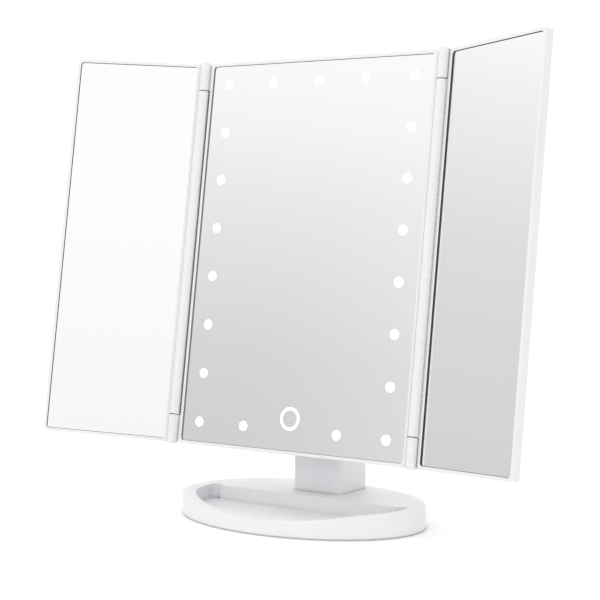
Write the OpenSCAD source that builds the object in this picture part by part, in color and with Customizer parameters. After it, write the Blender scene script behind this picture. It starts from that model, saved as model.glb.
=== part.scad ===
// Tri-fold lighted vanity mirror on an oval base with a cosmetics tray.
// Origin: centre of the base's underside, on the table. +X right, -Y towards the user, +Z up.
// The centre panel tilts on a shaft at the top of the neck, and the two wings fold over it.

/* [Base] */
// Width of the oval base, left to right
base_w = 159; // [140:1:190]
// Depth of the oval base, front to back
base_d = 107.5; // [104:0.5:130]
// Height of the base, from the table to its top face
base_h = 13.3; // [12.6:0.1:18]
// Thickness of the base's outer wall
base_wall = 2; // [1.6:0.1:2.6]
// Thickness of the base's top face
base_skin = 2; // [1.6:0.1:2.4]
// Thickness of the bottom plate
plate_t = 1.4; // [1.2:0.1:1.6]
// Thickness of the non-slip rubber pad under the base
pad_t = 0.8; // [0.6:0.1:1]
// How far the rubber pad stays inside the base's edge
pad_inset = 2.6; // [2.4:0.1:8]

/* [Tray] */
// Depth of the tray recess below the base's top face
tray_depth = 9.1; // [6:0.1:9.2]
// Width of the flat rim at the two ends of the tray
tray_end_rim = 9.5; // [6:0.5:14]
// Width of the rim along the front of the tray
tray_front_rim = 5.5; // [2.6:0.1:8]
// How far the tray's straight back wall stands behind the base's centre
tray_back_y = 3.6; // [-4:0.1:6]
// Radius of the round pocket at each back corner of the tray
pocket_r = 3.6; // [2.8:0.1:5]
// How far each pocket stands behind the tray's straight back wall
pocket_past = 2.6; // [1:0.1:3]
// Thickness of the walls round the tray, inside the base
tray_wall = 2; // [1.6:0.1:2.4]
// How far the front rim dips in its middle
rim_dip = 4.4; // [1:0.1:5]
// Width over which the front rim dips
rim_dip_w = 116; // [90:1:130]

/* [Neck] */
// Width of the neck
neck_w = 35; // [34:0.5:42]
// Depth of the neck, front to back
neck_d = 31; // [30.6:0.2:33]
// Distance of the neck's back face inside the base's back edge
neck_inset = 7.2; // [6:0.2:9]
// Radius of the neck's upright corners
neck_r = 4; // [3:0.5:4.5]
// Wall thickness of the neck
neck_wall = 2; // [1.8:0.1:2.2]
// Height of the neck's column above the base, up to its shoulder
neck_column_h = 65.7; // [64.5:0.1:72]
// Height of the tilt shaft above the neck's shoulder
shaft_rise = 11; // [10.5:0.5:14]
// Radius of the rounded head round the tilt shaft
head_r = 9.5; // [8.5:0.1:10]

/* [Tilt hinge] */
// Diameter of the tilt shaft
shaft_d = 8; // [7:0.1:8.4]
// Bore through the hollow tilt shaft
shaft_bore_d = 5; // [4:0.1:5.4]
// Wall thickness of the nylon bushes
bush_wall = 1; // [0.8:0.1:1.2]
// Length of each bush inside the neck's head
bush_len = 11; // [8:0.5:14]
// Thickness of each bush's flange
bush_flange_t = 0.6; // [0.5:0.1:0.7]
// Radius of each bush's flange
bush_flange_r = 7.5; // [6.5:0.1:8]
// Gap between the neck's head and each lug of the back cover
lug_gap = 0.8; // [0.8:0.1:1.2]
// Thickness of each lug
lug_t = 9.2; // [8:0.1:11]
// Radius of each lug round the shaft
lug_r = 10.5; // [10:0.1:12]
// Height of each lug's root on the back cover
lug_root_h = 50; // [40:1:60]
// Depth of the cap's seat in each lug
cap_seat = 2.7; // [2:0.1:3]
// Radius of the cap's seat in each lug
cap_seat_r = 7; // [6:0.1:7.5]
// Thickness of each hinge cap
cap_t = 1.2; // [1:0.1:1.6]
// Distance from the tilt shaft forward to the glass
shaft_to_glass = 32.5; // [30:0.5:36]
// Distance from the tilt shaft down to the panel's lower edge
shaft_to_lower_edge = 55.2; // [50:0.2:60]
// Angle that the panel leans back at rest, in degrees
rest_tilt = 8.7; // [0:0.1:20]

/* [Mirror panels] */
// Width of the centre glass
glass_w = 157; // [150:0.5:190]
// Height of the three glasses
glass_h = 231.8; // [200:0.2:280]
// Width of each wing's glass
wing_glass_w = 76; // [60:0.2:76.2]
// Thickness of the glass
glass_t = 1.8; // [1.5:0.1:2.2]
// Radius of the glass corners
glass_r = 1.5; // [1:0.1:3]
// Gap round each glass
glass_gap = 0.35; // [0.3:0.05:0.5]
// Width of the lip round each glass
lip_w = 2; // [1.6:0.1:2.2]
// How far the lip stands in front of the glass
lip_proud = 1; // [0.6:0.1:1.1]
// Thickness of the centre panel
panel_t = 13; // [12:0.1:14]
// Thickness of the foam tape behind the centre glass
centre_tape_t = 0.5; // [0.4:0.05:0.6]
// Thickness of the centre frame's inner plate
inner_plate_t = 1.5; // [1.2:0.1:1.8]
// Thickness of the back cover
cover_t = 2; // [1.8:0.1:2.4]
// Thickness of the tape behind each wing's glass
wing_tape_t = 0.4; // [0.3:0.05:0.5]
// Thickness of each wing's back wall
wing_back_t = 2; // [1.6:0.1:2.6]

/* [Wing hinges] */
// Distance from the mirror's middle to each wing's hinge line
hinge_x = 85; // [85:0.1:104]
// How far the hinge lines stand in front of the glass
hinge_forward = 1.5; // [1.4:0.1:2]
// How far the hinge lines stand in front of the wings' glass
wing_hinge_forward = 2.3; // [1.6:0.1:2.6]
// Distance of each wing's glass from its hinge line
wing_glass_start = 6.2; // [5.6:0.1:7]
// Radius of the hinge barrels
barrel_r = 3.3; // [2.8:0.1:3.7]
// Length of each knuckle on the centre frame
knuckle_len = 17.9; // [12:0.1:24]
// How far the knuckles stand past the frame's upper and lower edges
knuckle_past = 0.5; // [0.3:0.1:2]
// Gap between a knuckle and the wing's barrel
knuckle_gap = 0.3; // [0.25:0.05:0.6]
// Diameter of the hinge pins
pin_d = 2.4; // [2:0.1:3]
// Length of each hinge pin inside the wing's barrel
pin_reach = 11; // [8:0.5:16]
// Fold of the left wing at rest, forward from flat, in degrees
left_fold = 23.2; // [0:0.1:60]
// Fold of the right wing at rest, forward from flat, in degrees
right_fold = 23.4; // [0:0.1:60]

/* [Lights and touch ring] */
// Distance of the side columns of lights from the glass's side edges
led_side_inset = 12; // [10:0.5:13]
// Height of the lowest row of lights above the frame's lower edge
led_bottom = 14.1; // [13:0.1:16]
// Spacing between the rows of lights
led_pitch = 29.8; // [25:0.1:30]
// Rows of lights up each side
led_rows = 8; // [5:1:8]
// Radius of each light's window
led_window_r = 3.1; // [2.5:0.1:3.4]
// Height of the touch ring's centre above the frame's lower edge
ring_up = 20.9; // [20:0.1:24]
// Outer radius of the touch ring
ring_r = 6.9; // [6:0.1:7.5]
// Width of the touch ring's line
ring_line = 1.7; // [1.2:0.1:2.2]
// Width of the light boards
led_board_w = 8; // [6:0.5:8]
// Thickness of the circuit boards
board_t = 1; // [0.8:0.1:1.2]

/* [Batteries] */
// Diameter of a battery cell
cell_d = 10.5; // [10.5:0.1:10.6]
// Length of a battery cell, with its cap
cell_l = 44.5; // [44.5:0.1:44.6]
// Thickness of the battery holder's walls
holder_wall = 1.2; // [1:0.1:1.3]
// Thickness of the battery door
door_t = 2; // [1.8:0.1:2.2]
// Gap round the battery door
door_gap = 0.3; // [0.25:0.05:0.5]
// Width of the battery door
door_w = 26; // [25:0.1:26.4]

/* [Fasteners and sockets] */
// Diameter of a small screw's thread
screw_d = 2.2; // [2:0.1:2.5]
// Diameter of a small screw's head
screw_head_d = 4.6; // [4:0.1:5]
// Depth of a countersunk screw head
screw_head_t = 1.1; // [0.9:0.1:1.2]
// Length of a small screw's thread
screw_len = 5; // [4:0.5:6]
// Distance of the power inlet and the power switch from the middle of the base
port_x = 14; // [13:0.5:16]
// Width of the power inlet
inlet_w = 7.8; // [7:0.1:9]
// Height of the power inlet
inlet_h = 2.7; // [2.5:0.1:3]
// Travel of the power switch
switch_travel = 3; // [2:0.5:4]

/* [Hidden] */
$fn = 64;
// A cut runs this far past the face that it opens
cut = 1;
// Running clearance on a turning pin or shaft, as a radius
run_fit = 0.05;
// Clearance between two parts that drop together
slip = 0.2;
// Clearance between parts that move past each other
clear_gap = 0.3;
// Sides of the oval outlines, and steps in a rounded corner
oval_n = 120;
corner_n = 6;

// Base
base_a = base_w/2;
base_b = base_d/2;
tray_a = base_a - tray_end_rim;
tray_b = base_b - tray_front_rim;
tray_floor_z = base_h - tray_depth;
tray_floor_t = tray_floor_z - pad_t - plate_t - 0.6;
plate_top_z = pad_t + plate_t;
ceiling_z = base_h - base_skin;
plate_boss_r = 3.5;
plate_boss_at = [[0.73, 0.37], [0.38, 0.67]];

// Neck
neck_back_y = base_b - neck_inset;
neck_front_y = neck_back_y - neck_d;
neck_mid_y = (neck_front_y + neck_back_y)/2;
shoulder_z = base_h + neck_column_h;
neck_ceiling_z = shoulder_z - neck_wall;
shaft_y = neck_front_y + head_r;
shaft_z = shoulder_z + shaft_rise;
neck_boss = 7;
neck_boss_h = 8;
lead_hole_r = 2.5;

// Batteries
bay_w = cell_d + 0.5;
cell_play = 0.15;
spring_h = 3;
button_h = 1;
contact_t = 0.4;
bay_h = cell_l + spring_h + button_h + 2*contact_t;
holder_w = 2*bay_w + 3*holder_wall;
holder_front_y = neck_front_y + neck_wall + clear_gap;
holder_back_y = neck_back_y - door_t - clear_gap;
holder_z = base_h + neck_boss_h + clear_gap;
holder_h = bay_h + 2*holder_wall;
bay_floor_z = holder_z + holder_wall;
bay_x = (bay_w + holder_wall)/2;
row_y = [holder_front_y + holder_wall + cell_play + cell_d/2,
    holder_front_y + holder_wall + 3*cell_play + 1.5*cell_d];
door_z = holder_z + 1;
door_h = holder_h - 2;
door_axis_y = neck_back_y - door_t/2;
door_axis_z = door_z + door_t/2;
door_pin_r = 0.6;
door_pin_len = 1.4;

// Tilt hinge
lug_in_x = neck_w/2 + lug_gap;
lug_out_x = lug_in_x + lug_t;
shaft_half = lug_out_x - cap_seat;

// Centre panel, measured from the tilt shaft
frame_w = glass_w + 2*(glass_gap + lip_w);
frame_h = glass_h + 2*(glass_gap + lip_w);
frame_r = 3;
frame_low_z = -shaft_to_lower_edge;
frame_high_z = frame_low_z + frame_h;
glass_y = -shaft_to_glass;
front_y = glass_y - lip_proud;
back_y = front_y + panel_t;
cover_front_y = back_y - cover_t;
tape_y = glass_y + glass_t;
plate_front_y = tape_y + centre_tape_t;
plate_back_y = plate_front_y + inner_plate_t;
glass_low_z = frame_low_z + lip_w + glass_gap;
boss_r = 3;
rim_t = 1.2;
rim_h = 1.2;
// Screws that hold the back cover: outer ones round the edge, inner ones round the lugs
side_screw_x = frame_w/2 - lip_w - 4.8;
edge_screw_in = 6.6;
cover_screws = concat(
    [for (s = [-1, 1]) for (z = [frame_low_z + 8.2, frame_low_z + frame_h/2, frame_high_z - 8.2])
        [s*side_screw_x, z]],
    [[0, frame_low_z + edge_screw_in], [0, frame_high_z - edge_screw_in]],
    [for (s = [-1, 1]) for (z = [-20, 26]) [s*(lug_out_x + 8), z]]);

// Lights
led_x = glass_w/2 - led_side_inset;
led_low_z = frame_low_z + led_bottom;
led_high_z = led_low_z + (led_rows - 1)*led_pitch;
led_spots = concat(
    [for (s = [-1, 1]) for (i = [0 : led_rows - 1]) [s*led_x, led_low_z + i*led_pitch]],
    [for (s = [-1, 0, 1]) [s*led_x/2, led_high_z]],
    [for (s = [-1, 1]) [s*led_x/2, led_low_z]]);
ring_z = frame_low_z + ring_up;
led_deep = 1.4;
led_y = plate_back_y + 0.1;
board_y = led_y + led_deep;
window_y = tape_y + 0.05;
window_deep = plate_back_y - 0.1 - window_y;
touch_board_w = 34;
touch_board_h = 21.6;

// Wings, measured from each hinge line
wing_glass_y = wing_hinge_forward;
wing_front_y = wing_glass_y - lip_proud;
wing_tape_y = wing_glass_y + glass_t;
wing_floor_y = wing_tape_y + wing_tape_t;
wing_t = wing_floor_y + wing_back_t - wing_front_y;
wing_glass_x = wing_glass_start;
wing_out_x = wing_glass_x + wing_glass_w + glass_gap + lip_w;
wing_in_x = 1.5;
hinge_y = glass_y - hinge_forward;
gutter_t = 2;
gutter_gap = 0.5;
barrel_low_z = frame_low_z - knuckle_past + knuckle_len + knuckle_gap;
barrel_high_z = frame_high_z + knuckle_past - knuckle_len - knuckle_gap;
chamfer = 0.8;

// Points along an arc
function arc(cx, cy, r, a0, a1, n) =
    [for (i = [0 : n]) [cx + r*cos(a0 + (a1 - a0)*i/n), cy + r*sin(a0 + (a1 - a0)*i/n)]];
// Outline of an oval
function oval(a, b) = [for (i = [0 : oval_n - 1]) [a*cos(360*i/oval_n), b*sin(360*i/oval_n)]];
// Outline of a rectangle with rounded corners, centred on x and y
function round_rect(w, h, r) = concat(
    arc(w/2 - r, h/2 - r, r, 0, 90, corner_n), arc(r - w/2, h/2 - r, r, 90, 180, corner_n),
    arc(r - w/2, r - h/2, r, 180, 270, corner_n), arc(w/2 - r, r - h/2, r, 270, 360, corner_n));

// A prism on an outline, from z = z0 to z1
module prism(points, z0, z1) {
    translate([0, 0, z0]) linear_extrude(z1 - z0) polygon(points);
}
// A box given by its two corners
module block(low, high) {
    translate(low) cube(high - low);
}
// An upright plate, centred on x, with its front face at y
module upright(w, z0, z1, y, t, r) {
    translate([0, y + t, (z0 + z1)/2]) rotate([90, 0, 0])
        linear_extrude(t) polygon(round_rect(w, z1 - z0, r));
}
// A round bar or hole along y
module bar_y(r, y, len, x, z) {
    translate([x, y, z]) rotate([-90, 0, 0]) cylinder(r = r, h = len);
}
// A round bar or hole along x
module bar_x(r, x0, x1, y, z) {
    translate([x0, y, z]) rotate([0, 90, 0]) cylinder(r = r, h = x1 - x0);
}
// The panel's own frame, with its origin on the tilt shaft
module on_panel() {
    translate([0, shaft_y, shaft_z]) rotate([-rest_tilt, 0, 0]) children();
}
// A wing's own frame, with its origin on the hinge line and x outwards: side is -1 left, 1 right
module on_wing(side) {
    fold = side < 0 ? left_fold : right_fold;
    on_panel() translate([side*hinge_x, hinge_y, 0]) rotate([0, 0, -side*fold])
        mirror([side < 0 ? 1 : 0, 0, 0]) children();
}
// The tray's outline, grown outwards by g
module tray_outline(g) {
    intersection() {
        polygon(oval(tray_a + g, tray_b + g));
        translate([-tray_a - g, tray_back_y + g - base_d]) square([2*(tray_a + g), base_d]);
    }
    for (s = [-1, 1]) translate([s*(tray_a + 0.5 - pocket_r), tray_back_y + pocket_past - pocket_r])
        circle(r = pocket_r + g);
}
// Places under the base's rear half where screws hold the plate
module at_plate_bosses() {
    for (p = plate_boss_at) for (s = [-1, 1]) translate([s*p[0]*base_a, p[1]*base_b, 0]) children();
}
// Centres of the four screws that hold the neck on the base
module at_neck_bosses() {
    for (s = [-1, 1]) for (y = [neck_front_y + neck_wall + neck_boss/2, neck_back_y - neck_wall - neck_boss/2])
        translate([s*(neck_w/2 - neck_wall - neck_boss/2), y, 0]) children();
}
// A countersunk screw pointing up, with its head's face at z = 0
module flat_screw(len) {
    cylinder(r1 = screw_head_d/2, r2 = screw_d/2, h = screw_head_t);
    cylinder(d = screw_d, h = screw_head_t + len);
}

// The dip in the front rim, grown outwards by g
module dip_cut(g) {
    dip_r = (pow(rim_dip_w/2, 2) + pow(rim_dip, 2))/(2*rim_dip);
    translate([0, -base_d, base_h - rim_dip + dip_r]) rotate([-90, 0, 0])
        cylinder(r = dip_r + g, h = base_d - 5, $fn = 360);
}

module base_cover() color("#f4f3f6") difference() {
    union() {
        difference() {
            prism(oval(base_a, base_b), pad_t, base_h);
            difference() {
                prism(oval(base_a - base_wall, base_b - base_wall), pad_t - cut, ceiling_z);
                translate([0, 0, tray_floor_z - tray_floor_t]) linear_extrude(base_h)
                    tray_outline(tray_wall);
                dip_cut(base_skin);
            }
            translate([0, 0, tray_floor_z]) linear_extrude(base_h) tray_outline(0);
        }
        at_plate_bosses() translate([0, 0, plate_top_z])
            cylinder(r = plate_boss_r, h = ceiling_z + base_skin/2 - plate_top_z);
    }
    // Holes for the plate's screws
    at_plate_bosses() translate([0, 0, plate_top_z - cut])
        cylinder(d = screw_d, h = cut + screw_head_t + screw_len - plate_t);
    // Holes for the neck's screws, and for its leads
    at_neck_bosses() translate([0, 0, ceiling_z - cut]) cylinder(d = screw_d + slip, h = base_skin + 2*cut);
    translate([0, neck_mid_y, ceiling_z - cut]) cylinder(r = lead_hole_r, h = base_skin + 2*cut);
    dip_cut(0);
    // Openings in the back wall for the power inlet and the switch
    block([port_x - inlet_w/2 - slip, base_b/2, inlet_z - slip],
        [port_x + inlet_w/2 + slip, base_b + cut, inlet_z + inlet_h + slip]);
    block([-port_x - slot_w/2, base_b/2, slot_z], [-port_x + slot_w/2, base_b + cut, slot_z + slot_h]);
}

// The control board and what stands on it
board_z = 5;
board_half = 22;
board_front_y = base_b - 18;
board_back_y = base_b - 5.4;
inlet_z = board_z + board_t;
inlet_back_y = base_b - 1.6;
inlet_len = 5.6;
slot_w = switch_travel + 4.6;
slot_z = board_z + board_t + 0.7;
slot_h = 2.4;
post_x = 18;
post_y = board_front_y + 3.2;
switch_w = 9;
switch_back_y = board_back_y - 0.2;
switch_deep = 3.8;
switch_h = 3.6;

module base_plate() color("#ececef") {
    difference() {
        prism(oval(base_a - base_wall - slip, base_b - base_wall - slip), pad_t, plate_top_z);
        at_plate_bosses() translate([0, 0, pad_t - 0.01])
            cylinder(r1 = screw_head_d/2 + 0.05, r2 = screw_d/2 + 0.05, h = screw_head_t + 0.02);
        at_plate_bosses() translate([0, 0, pad_t - cut]) cylinder(d = screw_d + 0.1, h = plate_t + 2*cut);
    }
    for (s = [-1, 1]) translate([s*post_x, post_y, plate_top_z])
        cylinder(r = 2.2, h = board_z - plate_top_z);
}

module rubber_pad() color("#d8d8dc")
    prism(oval(base_a - pad_inset, base_b - pad_inset), 0, pad_t);

module base_screws() color("#b8bcc2")
    at_plate_bosses() translate([0, 0, pad_t]) flat_screw(screw_len);

module control_board() color("#2f6b45")
    block([-board_half, board_front_y, board_z], [board_half, board_back_y, board_z + board_t]);

module power_inlet() color("#c9ccd1") difference() {
    block([port_x - inlet_w/2, inlet_back_y - inlet_len, inlet_z],
        [port_x + inlet_w/2, inlet_back_y, inlet_z + inlet_h]);
    difference() {
        block([port_x - inlet_w/2 + 0.4, inlet_back_y - inlet_len + 1, inlet_z + 0.4],
            [port_x + inlet_w/2 - 0.4, inlet_back_y + cut, inlet_z + inlet_h - 0.4]);
        block([port_x - inlet_w/2 + 1.4, inlet_back_y - inlet_len, inlet_z + 1],
            [port_x + inlet_w/2 - 1.4, inlet_back_y - 0.6, inlet_z + 1.5]);
    }
}

module switch_body() color("#3a3c40") difference() {
    block([-port_x - switch_w/2, switch_back_y - switch_deep, board_z + board_t],
        [-port_x + switch_w/2, switch_back_y, board_z + board_t + switch_h]);
    block([-port_x - slot_w/2, switch_back_y - 2, slot_z], [-port_x + slot_w/2, switch_back_y + cut, slot_z + slot_h]);
}

// The slider rests at its off end, and travels towards +X
module switch_slider() color("#e6e6ea") translate([-port_x - switch_travel/2, 0, slot_z]) {
    foot = 1.5;
    block([-foot, switch_back_y - 2 + clear_gap, clear_gap], [foot, base_b - 0.6, slot_h - clear_gap]);
    block([-foot, base_b - 1, clear_gap - 0.2], [foot, base_b + 0.6, slot_h - clear_gap + 0.2]);
    for (i = [-1 : 1]) bar_z_ridge(i);
}
// One grip ridge on the slider's face
module bar_z_ridge(i) {
    translate([i, base_b + 0.6, clear_gap]) cylinder(r = 0.3, h = slot_h - 2*clear_gap);
}

// Side outline of the neck's shoulder and head, as [y, z]
slope_far = sqrt(pow(neck_back_y - shaft_y, 2) + pow(shoulder_z - shaft_z, 2));
slope_from = atan2(shoulder_z - shaft_z, neck_back_y - shaft_y) + acos(head_r/slope_far);
head_side = concat([[neck_front_y, shoulder_z - neck_wall - 1]],
    arc(shaft_y, shaft_z, head_r, 180, slope_from, 24),
    [[neck_back_y, shoulder_z], [neck_back_y, shoulder_z - neck_wall - 1]]);

module neck_shell() color("#f4f3f6") difference() {
    union() {
        difference() {
            neck_outer();
            translate([0, neck_mid_y, 0]) prism(round_rect(neck_w - 2*neck_wall, neck_d - 2*neck_wall,
                neck_r - neck_wall), base_h - cut, neck_ceiling_z);
        }
        intersection() {
            for (s = [-1, 1]) for (y = [neck_front_y, neck_back_y - neck_wall - neck_boss])
                translate([s > 0 ? neck_w/2 - neck_wall - neck_boss : -neck_w/2, y, base_h])
                    cube([neck_wall + neck_boss, neck_wall + neck_boss, neck_boss_h]);
            translate([0, neck_mid_y, 0]) prism(round_rect(neck_w, neck_d, neck_r), base_h, shoulder_z);
        }
    }
    at_neck_bosses() translate([0, 0, base_h - cut]) cylinder(d = screw_d, h = cut + neck_boss_h - 1);
    // Bore for the bushes
    bar_x(shaft_d/2 + run_fit + bush_wall, -neck_w, neck_w, shaft_y, shaft_z);
    // Way for the leads from the column up to the shaft
    translate([0, shaft_y, neck_ceiling_z - cut]) cylinder(r = lead_hole_r, h = shaft_z - neck_ceiling_z);
    // Doorway in the back, with the door's two pin holes
    block([-door_w/2 - door_gap, neck_back_y - neck_wall - cut, door_z - door_gap],
        [door_w/2 + door_gap, neck_back_y + cut, door_z + door_h + door_gap]);
    bar_x(door_pin_r + run_fit, -door_w/2 - door_pin_len - 0.2, door_w/2 + door_pin_len + 0.2,
        door_axis_y, door_axis_z);
}
// The neck's outer shape: a column, a sloping shoulder and a round head
module neck_outer() {
    translate([0, neck_mid_y, 0]) prism(round_rect(neck_w, neck_d, neck_r), base_h, shoulder_z - neck_wall);
    intersection() {
        translate([-neck_w/2, 0, 0]) rotate([90, 0, 90]) linear_extrude(neck_w) polygon(head_side);
        translate([0, neck_mid_y, 0]) prism(round_rect(neck_w, neck_d, neck_r), base_h, shaft_z + 2*head_r);
    }
}

module neck_screws() color("#b8bcc2") at_neck_bosses() {
    translate([0, 0, ceiling_z - 1.5]) cylinder(d = screw_head_d, h = 1.5);
    translate([0, 0, ceiling_z - 0.5]) cylinder(d = screw_d, h = base_skin + 0.5 + screw_len);
}

module battery_holder() color("#e9e9ec") difference() {
    block([-holder_w/2, holder_front_y, holder_z], [holder_w/2, holder_back_y, holder_z + holder_h]);
    for (s = [-1, 1]) block([s*bay_x - bay_w/2, holder_front_y + holder_wall, bay_floor_z],
        [s*bay_x + bay_w/2, holder_back_y + cut, bay_floor_z + bay_h]);
}

// Places each cell: two bays side by side, two cells deep, every other one upside down
module at_cells() {
    for (i = [0, 1]) for (j = [0, 1]) translate([(2*i - 1)*bay_x, row_y[j], bay_floor_z + bay_h/2])
        rotate([i == j ? 0 : 180, 0, 0]) translate([0, 0, -bay_h/2]) children();
}

module battery_cells() color("#8d949b") at_cells() translate([0, 0, contact_t + spring_h]) {
    nub = 0.8;
    cylinder(d = cell_d, h = cell_l - nub);
    translate([0, 0, cell_l - nub - 0.2]) cylinder(d = 3.8, h = nub + 0.2);
}

module battery_springs() color("#c9ccd1") at_cells() translate([0, 0, contact_t]) {
    wire_r = 0.4;
    turns = 5;
    for (i = [0 : turns - 1])
        translate([0, 0, wire_r + i*(spring_h - 2*wire_r)/(turns - 1)])
            rotate_extrude() translate([2.6, 0]) circle(r = wire_r, $fn = 16);
}

module battery_contacts() color("#c9ccd1") {
    half = bay_w/2 - 0.6;
    for (s = [-1, 1]) for (z = [bay_floor_z, bay_floor_z + bay_h - contact_t])
        block([s*bay_x - half, holder_front_y + holder_wall, z],
            [s*bay_x + half, row_y[1] + cell_d/2, z + contact_t]);
    at_cells() translate([0, 0, bay_h - contact_t - button_h]) cylinder(r = 1.9, h = button_h);
}

module battery_door() color("#f1f0f4") {
    low = neck_back_y - door_t;
    block([-door_w/2, low, door_axis_z], [door_w/2, neck_back_y, door_z + door_h]);
    bar_x(door_t/2, -door_w/2, door_w/2, door_axis_y, door_axis_z);
    bar_x(door_pin_r, -door_w/2 - door_pin_len, door_w/2 + door_pin_len, door_axis_y, door_axis_z);
    // Ribs that hold the cells in
    for (s = [-1, 1]) block([s*bay_x - 0.6, row_y[1] + cell_d/2 + clear_gap, door_z + 8],
        [s*bay_x + 0.6, low + 0.2, door_z + door_h - 8]);
    // Grip ridges
    for (i = [0 : 2]) translate([0, 0, door_z + door_h - 5 - 2*i])
        block([-6, neck_back_y - 0.2, 0], [6, neck_back_y + 0.5, 1]);
}

module tilt_bushes() color("#2d2e31") for (s = [-1, 1]) difference() {
    union() {
        bar_x(shaft_d/2 + run_fit + bush_wall, s > 0 ? neck_w/2 - bush_len : -neck_w/2,
            s > 0 ? neck_w/2 : bush_len - neck_w/2, shaft_y, shaft_z);
        bar_x(bush_flange_r, s > 0 ? neck_w/2 : -neck_w/2 - bush_flange_t,
            s > 0 ? neck_w/2 + bush_flange_t : -neck_w/2, shaft_y, shaft_z);
    }
    bar_x(shaft_d/2 + run_fit, -neck_w, neck_w, shaft_y, shaft_z);
}

module tilt_shaft() color("#c2c6cb") on_panel() difference() {
    bar_x(shaft_d/2, -shaft_half, shaft_half, 0, 0);
    bar_x(shaft_bore_d/2, -shaft_half - cut, shaft_half + cut, 0, 0);
}

module hinge_caps() color("#f1f0f4") on_panel() for (s = [-1, 1]) {
    bar_x(cap_seat_r - 0.1, s > 0 ? lug_out_x - cap_t : -lug_out_x,
        s > 0 ? lug_out_x : cap_t - lug_out_x, 0, 0);
}

// Side outline of a lug, as [y, z]: a wide root that runs to an arc round the shaft
lug_far = sqrt(pow(back_y, 2) + pow(lug_root_h/2, 2));
lug_turn = atan2(lug_root_h/2, back_y) - acos(lug_r/lug_far);
lug_side = concat([[back_y - 1, -lug_root_h/2], [back_y, -lug_root_h/2]],
    arc(0, 0, lug_r, -lug_turn, lug_turn, 24), [[back_y, lug_root_h/2], [back_y - 1, lug_root_h/2]]);

module back_cover() color("#f4f3f6") on_panel() difference() {
    union() {
        upright(frame_w, frame_low_z, frame_high_z, cover_front_y, cover_t, frame_r);
        // Rim that locates the cover inside the frame
        difference() {
            upright(frame_w - 2*lip_w - 2*slip, frame_low_z + lip_w + slip, frame_high_z - lip_w - slip,
                cover_front_y - rim_h, rim_h + cover_t/2, frame_r - 1);
            upright(frame_w - 2*lip_w - 2*slip - 2*rim_t, frame_low_z + lip_w + slip + rim_t,
                frame_high_z - lip_w - slip - rim_t, cover_front_y - rim_h - cut, rim_h + cut, frame_r - 2);
        }
        for (s = [-1, 1]) translate([s > 0 ? lug_in_x : -lug_out_x, 0, 0])
            rotate([90, 0, 90]) linear_extrude(lug_t) polygon(lug_side);
    }
    bar_x(shaft_d/2, -lug_out_x - cut, lug_out_x + cut, 0, 0);
    for (s = [-1, 1])
        bar_x(cap_seat_r, s > 0 ? shaft_half : -lug_out_x - cut, s > 0 ? lug_out_x + cut : -shaft_half, 0, 0);
    for (p = cover_screws) {
        bar_y(screw_d/2 + 0.05, cover_front_y - cut, cover_t + 2*cut, p[0], p[1]);
        translate([p[0], back_y + 0.01, p[1]]) rotate([90, 0, 0])
            cylinder(r1 = screw_head_d/2 + 0.05, r2 = screw_d/2 + 0.05, h = screw_head_t + 0.02);
    }
}

module back_cover_screws() color("#b8bcc2") on_panel()
    for (p = cover_screws) translate([p[0], back_y, p[1]]) rotate([90, 0, 0]) flat_screw(screw_len);

// A hinge knuckle of the centre frame, from z0 to z1, with its web
module knuckle(side, z0, z1, web0, web1) {
    translate([side*hinge_x, hinge_y, z0]) {
        cylinder(r1 = barrel_r - chamfer, r2 = barrel_r, h = chamfer);
        translate([0, 0, chamfer]) cylinder(r = barrel_r, h = z1 - z0 - 2*chamfer);
        translate([0, 0, z1 - z0 - chamfer]) cylinder(r1 = barrel_r, r2 = barrel_r - chamfer, h = chamfer);
    }
    reach = frame_w/2 - 1;
    block([side > 0 ? reach : -hinge_x + 0.5, hinge_y + 0.8, web0],
        [side > 0 ? hinge_x - 0.5 : -reach, hinge_y + barrel_r + gutter_gap + 0.5, web1]);
}

module center_frame() color("#f4f3f6") on_panel() difference() {
    union() {
        difference() {
            upright(frame_w, frame_low_z, frame_high_z, front_y, cover_front_y - front_y, frame_r);
            upright(frame_w - 2*lip_w, frame_low_z + lip_w, frame_high_z - lip_w, front_y - cut,
                plate_front_y - front_y + cut, glass_r + glass_gap);
            upright(frame_w - 2*lip_w, frame_low_z + lip_w, frame_high_z - lip_w, plate_back_y,
                cover_front_y - plate_back_y + cut, frame_r - 1);
        }
        for (p = cover_screws) bar_y(boss_r, plate_back_y - 0.5, cover_front_y - plate_back_y + 0.5, p[0], p[1]);
        for (s = [-1, 1]) {
            knuckle(s, frame_low_z - knuckle_past, barrel_low_z - knuckle_gap,
                frame_low_z + 1, barrel_low_z - knuckle_gap - 0.5);
            knuckle(s, barrel_high_z + knuckle_gap, frame_high_z + knuckle_past,
                barrel_high_z + knuckle_gap + 0.5, frame_high_z - 1);
            // Gutter behind the wing's barrel, so that no light passes between them
            block([s > 0 ? frame_w/2 - 1 : 0.5 - hinge_x, hinge_y + barrel_r + gutter_gap, frame_low_z + 1],
                [s > 0 ? hinge_x - 0.5 : 1 - frame_w/2, hinge_y + barrel_r + gutter_gap + gutter_t, frame_high_z - 1]);
        }
    }
    for (p = cover_screws) bar_y(screw_d/2, plate_back_y + 0.6, panel_t, p[0], p[1]);
    for (p = led_spots) bar_y(led_window_r, plate_front_y - cut, inner_plate_t + 2*cut, p[0], p[1]);
    bar_y(ring_r + 0.2, plate_front_y - cut, inner_plate_t + 2*cut, 0, ring_z);
    for (s = [-1, 1]) translate([s*hinge_x, hinge_y, frame_low_z - frame_h/2]) cylinder(d = pin_d, h = 2*frame_h);
}

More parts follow.
